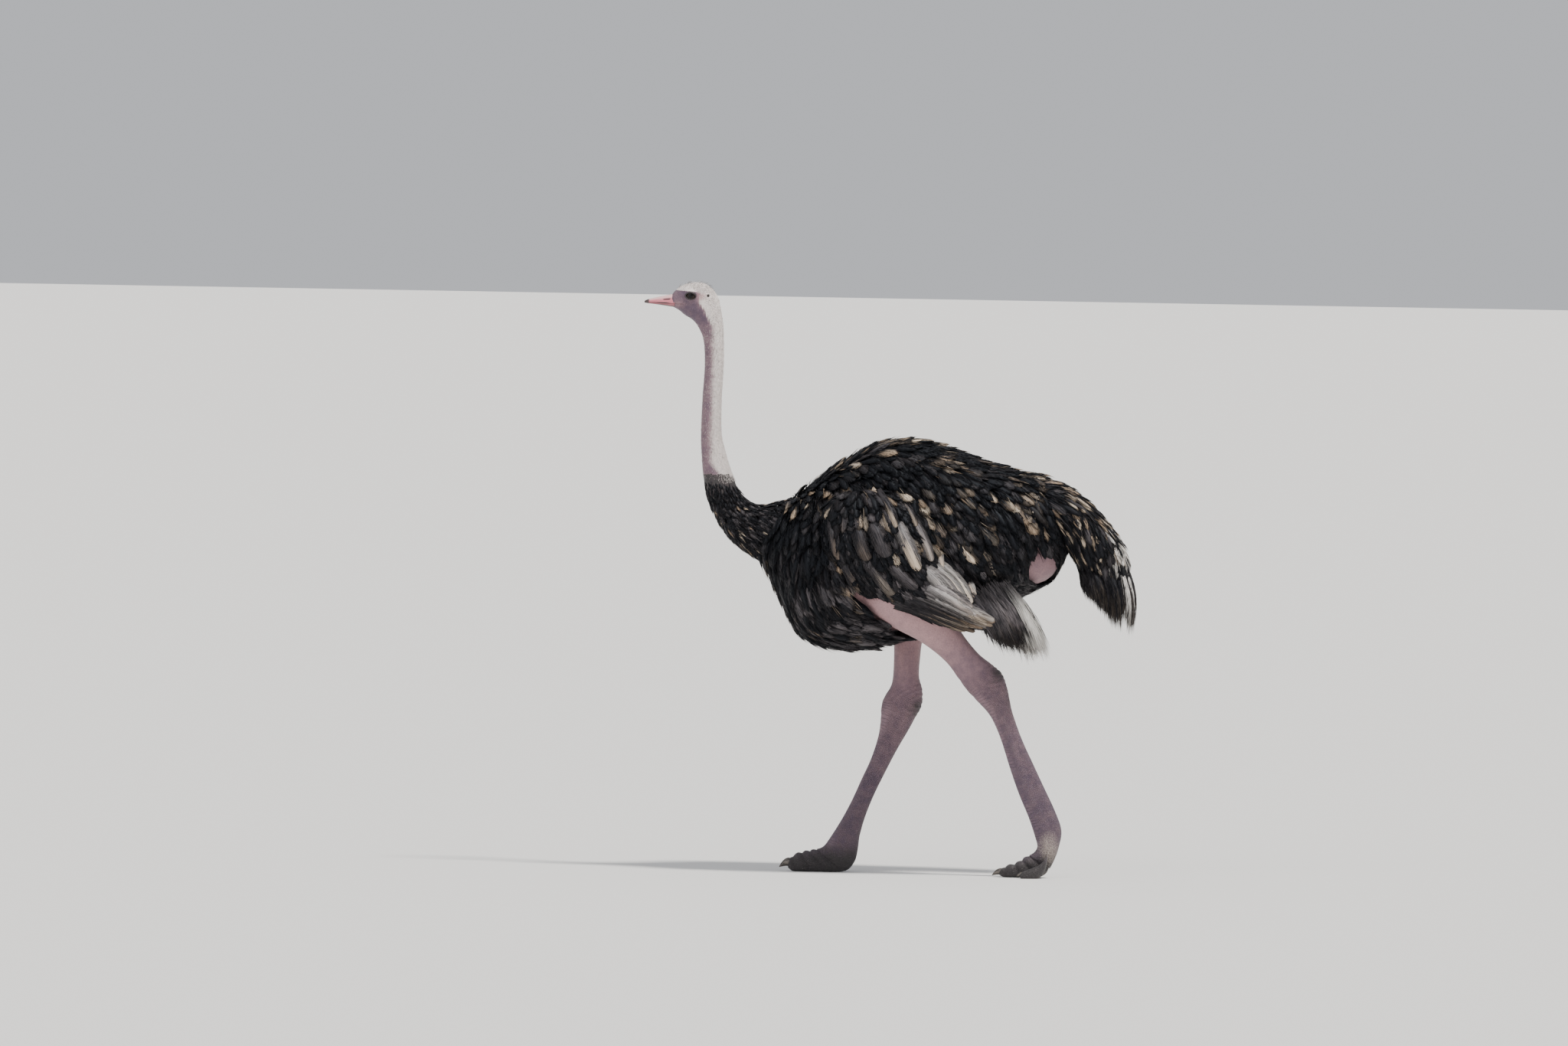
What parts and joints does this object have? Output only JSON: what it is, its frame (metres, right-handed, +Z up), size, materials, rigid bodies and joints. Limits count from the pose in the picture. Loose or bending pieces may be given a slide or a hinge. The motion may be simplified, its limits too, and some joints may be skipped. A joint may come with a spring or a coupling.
{
  "type": "walking ostrich",
  "caption": "Life-size male ostrich in mid-stride with raised neck, loosely folded wings and drooping tail; stands on its own feet as a still museum model.",
  "frame": {"origin": "on the floor, at the centre of the bounding box's bottom face: midway from bill tip to tail, on the bird's middle plane", "axes": "+Z up, -Y the way that the bird walks and looks, +X towards its left side"},
  "size_m": [0.6244, 1.5936, 1.866],
  "materials": {
    "black_plumage": "matt",
    "pale_plumage": "matt",
    "down": "matt",
    "skin": "satin",
    "leg": "satin",
    "bill": "satin",
    "eye": "gloss",
    "claw": "satin"
  },
  "bodies": {
    "root": {"trunk": "black_plumage", "tail": "black_plumage", "wing_left": "black_plumage", "wing_right": "black_plumage", "neck_lower": "black_plumage", "wing_plumes_left": "pale_plumage", "wing_plumes_right": "pale_plumage", "head": "down", "neck_upper": "down", "neck_middle": "down", "thigh_left": "skin", "thigh_right": "skin", "hock_left": "leg", "hock_right": "leg", "shank_left": "leg", "shank_right": "leg", "toe_big_left": "leg", "toe_big_right": "leg", "toe_small_left": "leg", "toe_small_right": "leg", "bill_upper": "bill", "bill_lower": "bill", "eye_left": "eye", "eye_right": "eye", "claw_big_left": "claw", "claw_big_right": "claw", "claw_small_left": "claw", "claw_small_right": "claw"}
  },
  "joints": []
}
